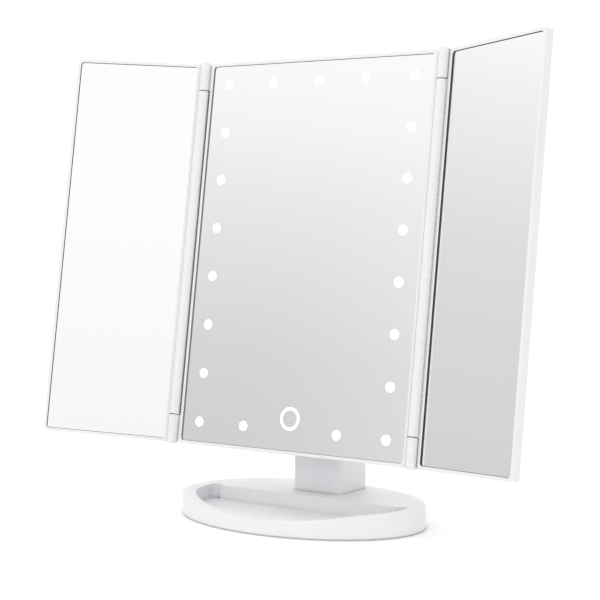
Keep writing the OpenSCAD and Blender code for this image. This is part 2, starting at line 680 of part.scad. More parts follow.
module center_tape() color("#e4e4e6") on_panel() difference() {
    upright(glass_w - 6, glass_low_z + 3, glass_low_z + glass_h - 3, tape_y, centre_tape_t, glass_r);
    for (p = led_spots) bar_y(led_window_r + 0.4, tape_y - cut, centre_tape_t + 2*cut, p[0], p[1]);
    bar_y(ring_r + 0.6, tape_y - cut, centre_tape_t + 2*cut, 0, ring_z);
}

module center_mirror() color("#dfe6ea") on_panel()
    upright(glass_w, glass_low_z, glass_low_z + glass_h, glass_y, glass_t, glass_r);

module light_windows() color("#fbfdff") on_panel()
    for (p = led_spots) bar_y(led_window_r - 0.05, window_y, window_deep, p[0], p[1]);

module touch_light_ring() color("#fbfdff") on_panel() difference() {
    bar_y(ring_r, window_y, window_deep, 0, ring_z);
    bar_y(ring_r - ring_line, window_y - cut, window_deep + 2*cut, 0, ring_z);
}

module leds() color("#f7efc8") on_panel()
    for (p = led_spots) block([p[0] - 1.75, led_y, p[1] - 1.4], [p[0] + 1.75, led_y + led_deep, p[1] + 1.4]);

module led_boards() color("#eef0ee") on_panel() {
    half = led_board_w/2;
    inner = led_x - half - 0.5;
    for (s = [-1, 1]) block([s*led_x - half, board_y, led_low_z - half],
        [s*led_x + half, board_y + board_t, led_high_z + half]);
    block([-inner, board_y, led_high_z - half], [inner, board_y + board_t, led_high_z + half]);
    for (s = [-1, 1]) {
        mid = s*(inner + touch_board_w/2 + 3)/2;
        long = (inner - touch_board_w/2 - 3)/2;
        block([mid - long, board_y, led_low_z - half], [mid + long, board_y + board_t, led_low_z + half]);
    }
}

module touch_board() color("#2f6b45") on_panel()
    block([-touch_board_w/2, led_y, ring_z - touch_board_h/2],
        [touch_board_w/2, led_y + board_t, ring_z + touch_board_h/2]);

module touch_pad() color("#c98b4a") on_panel()
    bar_y(ring_r - ring_line - 0.4, window_y + 0.3, led_y - window_y - 0.3, 0, ring_z);

// The two pins of one wing: each is held in a knuckle and turns in the wing's barrel
module hinge_pins(side) on_panel() translate([side*hinge_x, hinge_y, 0]) {
    outer = 0.5;
    translate([0, 0, frame_low_z - knuckle_past + outer]) cylinder(d = pin_d, h = knuckle_len + pin_reach - outer);
    translate([0, 0, barrel_high_z + knuckle_gap - pin_reach]) cylinder(d = pin_d, h = knuckle_len + pin_reach - outer);
}
module left_hinge_pins() color("#b8bcc2") hinge_pins(-1);
module right_hinge_pins() color("#b8bcc2") hinge_pins(1);

// A wing's plate: between x0 and x1 from its hinge line, inset from the frame's ends
module wing_plate(x0, x1, inset, y, t, r) {
    translate([(x0 + x1)/2, 0, 0]) upright(x1 - x0, frame_low_z + inset, frame_high_z - inset, y, t, r);
}
module wing_frame(side) on_wing(side) difference() {
    union() {
        difference() {
            wing_plate(wing_in_x, wing_out_x, 0, wing_front_y, wing_t, 2);
            wing_plate(wing_glass_x - glass_gap, wing_out_x - lip_w, lip_w, wing_front_y - cut,
                wing_floor_y - wing_front_y + cut, glass_r + glass_gap);
        }
        translate([0, 0, barrel_low_z]) cylinder(r = barrel_r, h = barrel_high_z - barrel_low_z);
    }
    // Room for the knuckles
    for (z = [frame_low_z - cut, barrel_high_z]) translate([0, 0, z])
        cylinder(r = barrel_r + clear_gap, h = barrel_low_z - frame_low_z + cut);
    // Bores for the hinge pins
    for (z = [barrel_low_z - cut, barrel_high_z - pin_reach - clear_gap])
        translate([0, 0, z]) cylinder(r = pin_d/2 + run_fit, h = pin_reach + clear_gap + cut);
}
module left_wing_frame() color("#f4f3f6") wing_frame(-1);
module right_wing_frame() color("#f4f3f6") wing_frame(1);

module wing_tape(side) on_wing(side)
    wing_plate(wing_glass_x + 3, wing_glass_x + wing_glass_w - 3, lip_w + glass_gap + 3,
        wing_tape_y, wing_tape_t, glass_r);
module left_wing_tape() color("#e4e4e6") wing_tape(-1);
module right_wing_tape() color("#e4e4e6") wing_tape(1);

module wing_mirror(side) on_wing(side)
    wing_plate(wing_glass_x, wing_glass_x + wing_glass_w, lip_w + glass_gap, wing_glass_y, glass_t, glass_r);
module left_wing_mirror() color("#dfe6ea") wing_mirror(-1);
module right_wing_mirror() color("#dfe6ea") wing_mirror(1);

base_cover();
base_plate();
rubber_pad();
base_screws();
control_board();
power_inlet();
switch_body();
switch_slider();
neck_shell();
neck_screws();
battery_holder();
battery_cells();
battery_springs();
battery_contacts();
battery_door();
tilt_bushes();
tilt_shaft();
hinge_caps();
back_cover();
back_cover_screws();
center_frame();
center_tape();
center_mirror();
light_windows();
touch_light_ring();
leds();
led_boards();
touch_board();
touch_pad();
left_hinge_pins();
right_hinge_pins();
left_wing_frame();
left_wing_tape();
left_wing_mirror();
right_wing_frame();
right_wing_tape();
right_wing_mirror();
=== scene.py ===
# %% [markdown]
# # A lighted tri-fold vanity mirror
# The mechanical model already exists as a frame of exact parts. This lesson dresses it: rounded
# mouldings, silvered glass, glowing windows and small hardware. Each piece is either the frame's own
# part with a real finish, or a new mesh that stands in for it at the same place and size.

import math

import bmesh
import bpy
from mathutils import Matrix, Vector


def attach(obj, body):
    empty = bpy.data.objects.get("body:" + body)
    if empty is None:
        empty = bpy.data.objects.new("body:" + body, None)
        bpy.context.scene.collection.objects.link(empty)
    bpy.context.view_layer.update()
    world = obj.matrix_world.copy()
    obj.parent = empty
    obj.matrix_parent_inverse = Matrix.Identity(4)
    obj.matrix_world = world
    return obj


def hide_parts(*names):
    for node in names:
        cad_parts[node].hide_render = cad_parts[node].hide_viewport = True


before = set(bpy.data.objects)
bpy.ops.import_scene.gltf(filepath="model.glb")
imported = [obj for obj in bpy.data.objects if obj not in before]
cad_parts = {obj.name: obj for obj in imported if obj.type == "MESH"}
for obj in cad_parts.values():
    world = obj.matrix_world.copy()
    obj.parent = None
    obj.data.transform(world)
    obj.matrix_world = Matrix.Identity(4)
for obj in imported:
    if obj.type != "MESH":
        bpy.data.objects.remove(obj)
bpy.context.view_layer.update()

# %% [markdown]
# ## Places
# The mirror's panel leans back on its tilt shaft and each wing is turned about its own hinge line.
# It is far easier to build a piece flat and square, in the panel's or the wing's own axes, and to
# carry it to its place with one matrix at the end. All sizes below are in millimetres.

# %% Sizes and the three working frames
MM = 0.001
SIDES = {-1: "left", 1: "right"}
# The oval base: half its length, half its depth, its height, and the rubber under it
BASE_A, BASE_B, BASE_H = 79.5, 53.75, 13.3
PAD_T = 0.8
# The panel, from its tilt shaft: its lean in degrees, its lower and upper edge, its back
SHAFT = Vector((0, 25.05, 90.0))
LEAN = 8.7
PANEL_LOW, PANEL_HIGH = -55.2, 181.3
PANEL_MID = (PANEL_LOW + PANEL_HIGH) / 2
BACK_Y = -20.5
# The centre glass, and the plane of its front face
GLASS_W, GLASS_H, GLASS_T = 157.0, 231.8, 1.8
GLASS_LOW, GLASS_Y = PANEL_LOW + 2.35, -32.5
# The hinge lines, how far each wing is folded forward, and each wing's glass from its hinge line
HINGE_X, HINGE_Y = 85.0, -34.0
FOLD = {-1: 23.2, 1: 23.4}
WING_GLASS_W, WING_GLASS_X, WING_GLASS_Y = 76.0, 6.2, 2.3

on_panel = Matrix.Translation(SHAFT) @ Matrix.Rotation(math.radians(-LEAN), 4, "X")


def on_wing(side):
    turn = Matrix.Rotation(math.radians(-side * FOLD[side]), 4, "Z")
    flip = Matrix.Scale(-1, 4, (1, 0, 0)) if side < 0 else Matrix.Identity(4)
    return on_panel @ Matrix.Translation((side * HINGE_X, HINGE_Y, 0)) @ turn @ flip


print("glass centre height, mm:", round((on_panel @ Vector((0, GLASS_Y, PANEL_MID))).z, 1))

# %% [markdown]
# ## Colour and nodes
# Colours are picked as screen values, so they are written as hex and turned to the linear light
# that shaders work in. One small helper adds a node, sets its options and fills its sockets.


# %% Helpers for colour and nodes
def linear(code):
    def channel(pair):
        v = int(pair, 16) / 255
        return v / 12.92 if v <= 0.04045 else ((v + 0.055) / 1.055) ** 2.4

    return tuple(channel(code[i : i + 2]) for i in (0, 2, 4)) + (1.0,)


def add(tree, kind, sockets=None, **options):
    node = tree.nodes.new(kind)
    for key, value in options.items():
        setattr(node, key, value)
    for key, value in (sockets or {}).items():
        if isinstance(value, bpy.types.NodeSocket):
            tree.links.new(value, node.inputs[key])
        else:
            node.inputs[key].default_value = value
    return node


def start(name):
    made = bpy.data.materials.new(name)
    made.use_nodes = True
    tree = made.node_tree
    shader = tree.nodes["Principled BSDF"]
    where = add(tree, "ShaderNodeTexCoord").outputs["Object"]
    in_mm = add(tree, "ShaderNodeVectorMath", {0: where, "Scale": 1000.0}, operation="SCALE").outputs[0]
    return made, tree, shader, in_mm


print("f4f3f6 in linear light:", [round(c, 3) for c in linear("f4f3f6")])

# %% [markdown]
# ## Satin white ABS
# The casings are injection-moulded ABS from a finely spark-eroded mould. To the eye that is a soft
# white with a trace of lilac, a broad highlight, and a grain just too small to see. The real grain
# is about 0.1 mm; it is drawn at 0.7 mm so that it still breaks the highlight a little. A slow
# drift of tone stands for uneven filling of the mould. The seams get painted shade: the
# ambient-occlusion node darkens the colour where little light gets into them.


# %% White mouldings
GRAIN_MM, DRIFT_MM = 0.7, 38.0


def satin_abs(name, light, shade, rough, seam_shade):
    made, tree, shader, mm = start(name)
    grain = add(tree, "ShaderNodeTexNoise", {"Vector": mm, "Scale": 1 / GRAIN_MM, "Detail": 3.0})
    drift = add(tree, "ShaderNodeTexNoise", {"Vector": mm, "Scale": 1 / DRIFT_MM, "Detail": 2.0})
    tone = add(tree, "ShaderNodeMix", {"Factor": drift.outputs[0]}, data_type="RGBA")
    tone.inputs[6].default_value, tone.inputs[7].default_value = linear(light), linear(shade)
    # Painted shade: ambient occlusion darkens the base colour in seams and creases
    nook = add(tree, "ShaderNodeAmbientOcclusion", {"Distance": 0.0028}, samples=8)
    depth = add(
        tree,
        "ShaderNodeMapRange",
        {"Value": nook.outputs["AO"], "From Min": 0.25, "From Max": 0.85, "To Min": seam_shade, "To Max": 1.0},
    )
    painted_seam_shade = add(tree, "ShaderNodeMix", {"Factor": 1.0}, data_type="RGBA", blend_type="MULTIPLY")
    tree.links.new(tone.outputs[2], painted_seam_shade.inputs[6])
    tree.links.new(depth.outputs[0], painted_seam_shade.inputs[7])
    tree.links.new(painted_seam_shade.outputs[2], shader.inputs["Base Color"])
    least, most = rough - 0.04, rough + 0.05
    gloss = add(
        tree,
        "ShaderNodeMapRange",
        {"Value": grain.outputs[0], "From Min": 0.3, "From Max": 0.7, "To Min": least, "To Max": most},
    )
    tree.links.new(gloss.outputs[0], shader.inputs["Roughness"])
    bump = add(tree, "ShaderNodeBump", {"Height": grain.outputs[0], "Strength": 0.1, "Distance": 0.000012})
    tree.links.new(bump.outputs[0], shader.inputs["Normal"])
    shader.inputs["IOR"].default_value = 1.53
    return made


# The panels are a touch glossier than the base, and the base's painted seam shade is a touch darker
panel_abs = satin_abs("satin_abs_moulding", "e4e3e5", "dedde0", 0.34, 0.6)
base_abs = satin_abs("satin_abs_base", "e6e5e7", "e1e0e2", 0.36, 0.55)
print("mouldings:", panel_abs.name, base_abs.name)

# %% [markdown]
# ## Silvered float glass
# A mirror is float glass silvered on its back. Float glass is almost flat: it waves by microns over
# tens of millimetres, which bends long reflections very slightly. Wiping leaves faint streaks that
# change the gloss and not the colour. The lip's inner walls carry painted shade, a dark lining for
# the shadow in the narrow gap round each glass, black on the wings and grey on the centre glass.
# Seen from the side it shows twice, once directly and once in the mirror, so the far edge of a
# turned wing carries a dark line and its near edge carries none.

# %% Mirror, black painted gap shade and light windows
# Almost all of the light comes back, with a long slow wave and a faint difference in gloss
mirror_glass, tree, shader, mm = start("silvered_float_glass")
wave = add(tree, "ShaderNodeTexNoise", {"Vector": mm, "Scale": 1 / 60, "Detail": 1.0})
WIPE = {"Scale": (1.0, 1.0, 0.16), "Rotation": (0, 0.5, 0)}
streak_way = add(tree, "ShaderNodeMapping", {"Vector": mm, **WIPE})
streak = add(tree, "ShaderNodeTexNoise", {"Vector": streak_way.outputs[0], "Scale": 1 / 9, "Detail": 4.0})
gloss = add(
    tree,
    "ShaderNodeMapRange",
    {"Value": streak.outputs[0], "From Min": 0.45, "From Max": 0.75, "To Min": 0.012, "To Max": 0.05},
)
bump = add(tree, "ShaderNodeBump", {"Height": wave.outputs[0], "Strength": 0.1, "Distance": 0.00002})
tree.links.new(gloss.outputs[0], shader.inputs["Roughness"])
tree.links.new(bump.outputs[0], shader.inputs["Normal"])
shader.inputs["Base Color"].default_value = linear("f9f9f9")
shader.inputs["Metallic"].default_value = 1.0

# The black painted gap shade stands for the shadow between lip and glass: the thin dark line that outlines
# a wing's glass
black_gap_shade, tree, shader, mm = start("black_painted_gap_shade")
speckle = add(tree, "ShaderNodeTexNoise", {"Vector": mm, "Scale": 1 / 0.5, "Detail": 2.0})
tone = add(tree, "ShaderNodeValToRGB", {"Fac": speckle.outputs[0]})
tone.color_ramp.elements[0].color, tone.color_ramp.elements[1].color = linear("303134"), linear("44464a")
tree.links.new(tone.outputs[0], shader.inputs["Base Color"])
shader.inputs["Roughness"].default_value = 0.55

# The windows are etched glass over a diffuser: a flat, very slightly cool white glow
window_glow, tree, shader, mm = start("etched_window_glow")
frost = add(tree, "ShaderNodeTexNoise", {"Vector": mm, "Scale": 1 / 0.4, "Detail": 2.0})
tone = add(tree, "ShaderNodeValToRGB", {"Fac": frost.outputs[0]})
tone.color_ramp.elements[0].color, tone.color_ramp.elements[1].color = linear("f6f8ff"), linear("ffffff")
tree.links.new(tone.outputs[0], shader.inputs["Base Color"])
tree.links.new(tone.outputs[0], shader.inputs["Emission Color"])
shader.inputs["Emission Strength"].default_value = 0.75
shader.inputs["Roughness"].default_value = 0.6
print("mirror materials:", mirror_glass.name, black_gap_shade.name, window_glow.name)

# %% [markdown]
# ## Hardware and hidden parts
# Screws, pins and the shaft are steel, zinc plated or ground. The boards carry a solder mask, the
# bushes are nylon, and the foot is a soft grey rubber. They all share one recipe: two close tones
# mixed by a fine noise, a roughness that follows it, and a bump of the right height. The grey painted
# shade in the gap round the centre glass is made the same way.


# %% The shared recipe
def fine_surface(name, dark, light, size_mm, rough, metal=0.0, height=0.00003, stretch=(1, 1, 1)):
    made, tree, shader, mm = start(name)
    way = add(tree, "ShaderNodeMapping", {"Vector": mm, "Scale": stretch})
    fleck = add(tree, "ShaderNodeTexNoise", {"Vector": way.outputs[0], "Scale": 1 / size_mm, "Detail": 4.0})
    tone = add(tree, "ShaderNodeValToRGB", {"Fac": fleck.outputs[0]})
    tone.color_ramp.elements[0].position, tone.color_ramp.elements[1].position = 0.35, 0.65
    tone.color_ramp.elements[0].color, tone.color_ramp.elements[1].color = linear(dark), linear(light)
    tree.links.new(tone.outputs[0], shader.inputs["Base Color"])
    least, most = rough * 0.85, rough * 1.15
    gloss = add(
        tree,
        "ShaderNodeMapRange",
        {"Value": fleck.outputs[0], "From Min": 0.3, "From Max": 0.7, "To Min": least, "To Max": most},
    )
    tree.links.new(gloss.outputs[0], shader.inputs["Roughness"])
    bump = add(tree, "ShaderNodeBump", {"Height": fleck.outputs[0], "Strength": 0.3, "Distance": height})
    tree.links.new(bump.outputs[0], shader.inputs["Normal"])
    shader.inputs["Metallic"].default_value = metal
    return made


# Metals: a cool dull zinc, a rod with grinding marks along it, a warm bright nickel, a red copper
zinc = fine_surface("zinc_plated_steel", "a9adb1", "c6c9cc", 0.6, 0.3, metal=1.0)
ground_steel = fine_surface("ground_steel_rod", "b6b9bd", "d0d2d5", 0.3, 0.22, metal=1.0, stretch=(1, 1, 6))
nickel = fine_surface("nickel_plated_shell", "b8b4ac", "d6d2ca", 0.5, 0.2, metal=1.0)
copper = fine_surface("etched_copper_foil", "b0703c", "cf8f58", 0.5, 0.3, metal=1.0)
# Plastics and rubber: a rough dull foot, a plain matt plate, a dark nylon with a low sheen
rubber = fine_surface("soft_grey_rubber", "d2d2d5", "dededf", 0.8, 0.8, height=0.00012)
matt_abs = fine_surface("matt_abs_plate", "d6d6d9", "e2e2e4", 0.9, 0.55)
nylon = fine_surface("black_nylon", "242527", "303134", 0.5, 0.45)
# Boards and lamps: a glossy lacquer over the copper, and the yellow phosphor of an unlit white LED
green_mask = fine_surface("green_solder_mask", "1c5233", "2a6b45", 1.4, 0.3)
white_mask = fine_surface("white_solder_mask", "e4e6e2", "f2f3f0", 1.4, 0.3)
phosphor = fine_surface("led_phosphor", "efe2a6", "fbf3cf", 0.4, 0.4)
# Painted gap shade, tape and sleeve: a soft grey line of painted shade, an open pale foam, a smooth sleeve
# drawn along the cell
grey_gap_shade = fine_surface("grey_painted_gap_shade", "77787b", "8b8c8f", 0.5, 0.55)
foam = fine_surface("foam_tape", "d6d6d9", "ececee", 0.5, 0.85, height=0.0001)
wrap = fine_surface("plain_cell_wrap", "5f666d", "70777e", 0.7, 0.35, stretch=(1, 1, 0.1))
finish_of = {
    "base_plate": matt_abs,
    "base_screws": zinc,
    "control_board": green_mask,
    "switch_body": nylon,
    "neck_screws": zinc,
    "battery_holder": matt_abs,
    "battery_springs": zinc,
    "battery_contacts": nickel,
    "tilt_bushes": nylon,
    "tilt_shaft": ground_steel,
    "center_tape": foam,
    "leds": phosphor,
    "led_boards": white_mask,
    "touch_board": green_mask,
    "touch_pad": copper,
    "left_hinge_pins": ground_steel,
    "right_hinge_pins": ground_steel,
    "left_wing_tape": foam,
    "right_wing_tape": foam,
}
for name, made in finish_of.items():
    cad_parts[name].data.materials.clear()
    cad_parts[name].data.materials.append(made)
print("parts given a finish as they are:", len(finish_of))

# %% [markdown]
# ## Softening a moulding
# No moulded edge is truly sharp: the tool has a small radius, and light catches it. The exact parts
# are sharp, so a copy of each casing is merged, its flat areas are cleaned up, and its edges are
# bevelled. Rounding only the edges that show keeps the mesh light. Weighted normals then keep the
# big faces flat to the eye while the bevels turn smoothly.


# %% Finishing a mesh and softening a casing
def finish(name, bm, body, slot, materials, *stands_for, smooth=38):
    mesh = bpy.data.meshes.new(name)
    bm.to_mesh(mesh)
    bm.free()
    for made in materials:
        mesh.materials.append(made)
    mesh.shade_smooth()
    mesh.set_sharp_from_angle(angle=math.radians(smooth))
    piece = bpy.data.objects.new(name, mesh)
    bpy.context.scene.collection.objects.link(piece)
    even = piece.modifiers.new("even_normals", "WEIGHTED_NORMAL")
    even.keep_sharp = True
    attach(piece, body)
    if stands_for:
        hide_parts(*stands_for)
    print(f"{name}: {len(mesh.polygons)} faces")
    return piece


def merged_copy(node, hidden=lambda face: False):
    bm = bmesh.new()
    bm.from_mesh(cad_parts[node].data)
    bmesh.ops.remove_doubles(bm, verts=bm.verts, dist=3e-6)
    # A hidden face may be wide and full of holes, which a single many-sided face can't describe
    clean = [e for e in bm.edges if not any(hidden(f) for f in e.link_faces)]
    bmesh.ops.dissolve_limit(bm, angle_limit=math.radians(0.25), verts=[], edges=clean)
    return bm


def bevel(bm, edges, width, segments):
    bmesh.ops.bevel(
        bm,
        geom=edges,
        offset=width,
        offset_type="OFFSET",
        segments=segments,
        profile=0.5,
        affect="EDGES",
        material=-1,
        clamp_overlap=False,
    )


def round_edges(bm, width_mm, segments, chosen):
    picked = [
        e
        for e in bm.edges
        if len(e.link_faces) == 2
        and e.calc_face_angle(0) > math.radians(28)
        and chosen(e.verts[0].co / MM, e.verts[1].co / MM)
    ]
    bevel(bm, picked, width_mm * MM, segments)
    return len(picked)


def vertices(geom):
    return [v for v in geom if isinstance(v, bmesh.types.BMVert)]


def put(bm, place):
    bmesh.ops.transform(bm, matrix=Matrix.Scale(MM, 4) @ place, verts=bm.verts)


# %% [markdown]
# ## The base
# The base is one oval moulding with a sunk tray. The outer top edge has the largest radius, because
# hands and cloths run over it; the rim of the tray is tighter, and the tray's floor meets its walls
# in a small fillet so that it wipes clean.


# %% Base cover
TRAY_FLOOR, TRAY_BACK = 4.2, 6.0
# The front rim dips to this height in the middle
RIM_LOW = BASE_H - 5.0


def on_outer_wall(p):
    return (p.x / BASE_A) ** 2 + (p.y / BASE_B) ** 2 > 0.998


def outer_top(a, b):
    lowest = (RIM_LOW if a.y < 0 else BASE_H) - 0.3
    return on_outer_wall(a) and on_outer_wall(b) and min(a.z, b.z) > lowest


def outer_foot(a, b):
    return on_outer_wall(a) and on_outer_wall(b) and max(a.z, b.z) < PAD_T + 0.2


def tray_rim(a, b):
    high = min(a.z, b.z) > RIM_LOW - 0.1 and abs(a.z - b.z) < 1.5
    inner = not on_outer_wall(a) and not on_outer_wall(b)
    return high and inner and max(a.y, b.y) < TRAY_BACK


def tray_foot(a, b):
    on_floor = max(abs(a.z - TRAY_FLOOR), abs(b.z - TRAY_FLOOR)) < 0.1
    return on_floor and max(a.y, b.y) < TRAY_BACK


bm = merged_copy("base_cover", hidden=lambda face: face.normal.z < -0.9)
counts = [
    round_edges(bm, 1.0, 4, outer_top),
    round_edges(bm, 0.2, 2, outer_foot),
    round_edges(bm, 0.6, 3, tray_rim),
    round_edges(bm, 0.9, 3, tray_foot),
]
print("edges rounded on the base:", counts)
finish("base_shell", bm, "stand", "white_plastic", [base_abs], "base_cover")

# %% [markdown]
# ## The foot
# A soft rubber sheet under the base keeps it from sliding. It is a circle scaled to an oval and
# extruded, with its lower rim broken so that it doesn't catch when the mirror is turned.

# %% Rubber foot
PAD_INSET = 0.9
bm = bmesh.new()
disc = bmesh.ops.create_circle(bm, cap_ends=True, segments=120, radius=1.0)["verts"]
bmesh.ops.scale(bm, vec=(BASE_A - PAD_INSET, BASE_B - PAD_INSET, 1), verts=disc)
raised = bmesh.ops.extrude_face_region(bm, geom=[disc[0].link_faces[0]])["geom"]
bmesh.ops.translate(bm, vec=(0, 0, PAD_T), verts=vertices(raised))
bmesh.ops.recalc_face_normals(bm, faces=bm.faces)
bevel(bm, [e for e in bm.edges if max(e.verts[0].co.z, e.verts[1].co.z) < 0.01], 0.15, 2)
put(bm, Matrix.Identity(4))
finish("rubber_foot", bm, "stand", "rubber", [rubber], "rubber_pad")

# %% [markdown]
# ## The neck
# The neck is a hollow column with a sloping shoulder and a round head. Its upright corners already
# carry a 4 mm radius, so only the head's ends need softening. The battery doorway in the back wall
# keeps its crisp edge, because the door has to sit flush in it.


# %% Neck shell
NECK_W, NECK_BACK = 35.0, BASE_B - 7.2
HEAD_LOW = SHAFT.z - 14.0


def head_end(a, b):
    return min(a.z, b.z) > HEAD_LOW and min(abs(a.x), abs(b.x)) > NECK_W / 2 - 0.2


bm = merged_copy("neck_shell", hidden=lambda face: abs(face.normal.y) > 0.9 or face.normal.z < -0.9)
print("edges rounded on the neck:", round_edges(bm, 0.6, 3, head_end))
finish("neck_casing", bm, "stand", "white_plastic", [base_abs], "neck_shell")

# %% [markdown]
# ## The small parts of the stand
# The battery door is a flat moulding with three grip ridges, and the switch is a slide button with
# a ribbed thumb face. Both are clipped in from outside, so their edges are rounded all round. The
# cells wear a printed sleeve that stops short of their steel ends, which is a second material on
# the flat end faces. The power inlet is a bent steel shell round a black tongue.


# %% Door, switch, cells and inlet
INLET_X, TONGUE_HALF_W, TONGUE_FRONT = 14.0, 2.6, 47.0
TONGUE_LOW, TONGUE_HIGH = 6.9, 7.6


def door_outside(a, b):
    return min(a.y, b.y) > NECK_BACK - 0.3


def thumb_face(a, b):
    return min(a.y, b.y) > BASE_B - 0.1 and a.z != b.z


bm = merged_copy("battery_door")
print("door edges:", round_edges(bm, 0.25, 2, door_outside))
finish("battery_lid_moulding", bm, "battery_lid", "white_plastic", [base_abs], "battery_door")

bm = merged_copy("switch_slider")
print("switch edges:", round_edges(bm, 0.12, 2, thumb_face))
finish("switch_button", bm, "power_slider", "white_plastic", [base_abs], "switch_slider")

bm = merged_copy("battery_cells")
for face in bm.faces:
    face.material_index = 1 if abs(face.normal.z) > 0.9 else 0
print("cell edges:", round_edges(bm, 0.45, 3, lambda a, b: abs(a.z - b.z) < 0.1))
finish("sleeved_cells", bm, "stand", "cell_wrap", [wrap, nickel], "battery_cells")

bm = merged_copy("power_inlet")
for face in bm.faces:
    spot = face.calc_center_median() / MM
    across = abs(spot.x - INLET_X) < TONGUE_HALF_W and spot.y > TONGUE_FRONT
    face.material_index = 1 if across and TONGUE_LOW < spot.z < TONGUE_HIGH else 0
finish("inlet_shell", bm, "stand", "steel", [nickel, nylon], "power_inlet")

# %% [markdown]
# ## Panel and wings
# The centre frame, its back cover and the two wing frames are thin mouldings with a narrow lip round
# the glass. The lip is barely 2 mm wide, so its radius is only about 0.3 mm: enough for the fine
# bright line that outlines each panel. The lip's inner walls, just round the glass, take painted
# shade for the shadow in the gap.


# %% Frames and back cover
def seen_from(place):
    back = place.inverted()
    return lambda p: back @ p


def at_rim(a, b, beyond_x, top, bottom):
    beside = min(abs(a.x), abs(b.x)) > beyond_x
    return beside or min(a.z, b.z) > PANEL_HIGH - top or max(a.z, b.z) < PANEL_LOW + bottom


# Painted shade: the lip's inner walls round the glass take the dark lining that stands for the shadow in
# the gap
def paint_gap_shade(bm, to_local, left, right, front):
    lip, reach, depth = 1.7, 2.3, 3.2
    count = 0
    for face in bm.faces:
        p = to_local(face.calc_center_median() / MM)
        upright = abs((to_local(face.normal) - to_local(Vector((0, 0, 0)))).y) < 0.3
        within = left < p.x < right and abs(p.z - PANEL_MID) < PANEL_HIGH - PANEL_MID - lip
        beside = p.x < left + 2.2 or p.x > right - 2.2
        above = abs(p.z - PANEL_MID) > PANEL_HIGH - PANEL_MID - lip - reach
        is_wall = upright and within and (beside or above) and front < p.y < front + depth
        face.material_index = 1 if is_wall else 0
        count += face.material_index
    return count


to_panel = seen_from(on_panel)


def lip_edge(a, b):
    a, b = to_panel(a), to_panel(b)
    front = max(a.y, b.y) < GLASS_Y - 0.8
    back = at_rim(a, b, GLASS_W / 2 + 1.3, 1.5, 1.5) and max(a.y, b.y) > BACK_Y - 2.5
    knuckle = max(abs(a.x), abs(b.x)) > HINGE_X - 3.5
    return (front or back) and not knuckle


def cover_edge(a, b):
    a, b = to_panel(a), to_panel(b)
    rim = at_rim(a, b, GLASS_W / 2 - 1.5, 4.3, 4.2) and min(a.y, b.y) > BACK_Y - 0.5
    lug = min(a.y, b.y) > BACK_Y + 0.5 and abs(abs(a.x) - abs(b.x)) < 0.1 and math.hypot(a.y, a.z) > 7.5
    return rim or lug


bm = merged_copy("center_frame")
print("lip edges:", round_edges(bm, 0.28, 3, lip_edge))
print("seal faces:", paint_gap_shade(bm, to_panel, -79.1, 79.1, GLASS_Y - 0.8))
center_looks = [panel_abs, grey_gap_shade]
finish("center_frame_moulding", bm, "center_panel", "white_plastic", center_looks, "center_frame")

bm = merged_copy("back_cover")
print("cover edges:", round_edges(bm, 0.6, 3, cover_edge))
finish("back_cover_moulding", bm, "center_panel", "white_plastic", [panel_abs], "back_cover")

for side, word in SIDES.items():
    to_wing = seen_from(on_wing(side))

    def wing_edge(a, b, to_wing=to_wing):
        a, b = to_wing(a), to_wing(b)
        front = max(a.y, b.y) < WING_GLASS_Y - 0.7
        by_barrel = max(a.x, b.x) < 5.5 and abs(a.z - b.z) > 1
        return min(a.x, b.x) > 3.3 and not by_barrel and (front or at_rim(a, b, 82.0, 2.6, 2.6))

    bm = merged_copy(f"{word}_wing_frame")
    print(word, "wing edges:", round_edges(bm, 0.35, 3, wing_edge))
    print(word, "seal faces:", paint_gap_shade(bm, to_wing, 5.7, 82.7, WING_GLASS_Y - 0.8))
    wing_looks = [panel_abs, black_gap_shade]
    finish(f"{word}_wing_moulding", bm, f"{word}_wing", "white_plastic", wing_looks, f"{word}_wing_frame")

# %% [markdown]
# ## Screws and caps at the back
# Twelve countersunk screws hold the back cover. Each head is drawn once: a small square grid gives
# the cross, whose five cells are pushed in and narrowed, a circle is bridged to the grid's border
# for the face of the head, and the circle is extruded down twice for the cone and the shank. The
# caps that close the lugs are discs with a rounded rim and a shallow dish.


# %% Cross-headed screws
HEAD_R, SHANK_R, HEAD_T, SHANK_L = 2.3, 1.1, 1.1, 4.9
CROSS_W, CROSS_DEEP, SUNK = 1.25, 0.8, 0.02
# Screws up each side, one in the middle of each end, and four round the lugs
SIDE_X, SIDE_MARGIN, END_MARGIN = 74.05, 8.2, 6.6
LUG_X, LUG_ROWS = 35.5, (-20, 26)
side_rows = [PANEL_LOW + SIDE_MARGIN, PANEL_MID, PANEL_HIGH - SIDE_MARGIN]
screw_spots = [(side * SIDE_X, z) for side in SIDES for z in side_rows]
screw_spots += [(0, PANEL_LOW + END_MARGIN), (0, PANEL_HIGH - END_MARGIN)]
screw_spots += [(side * LUG_X, z) for side in SIDES for z in LUG_ROWS]


def ring_out(bm, edges, radius, drop):
    made = bmesh.ops.extrude_edge_only(bm, edges=edges)["geom"]
    points = vertices(made)
    factor = radius / points[0].co.xy.length
    bmesh.ops.scale(bm, vec=(factor, factor, 1), verts=points)
    bmesh.ops.translate(bm, vec=(0, 0, -drop), verts=points)
    return [e for e in made if isinstance(e, bmesh.types.BMEdge)]


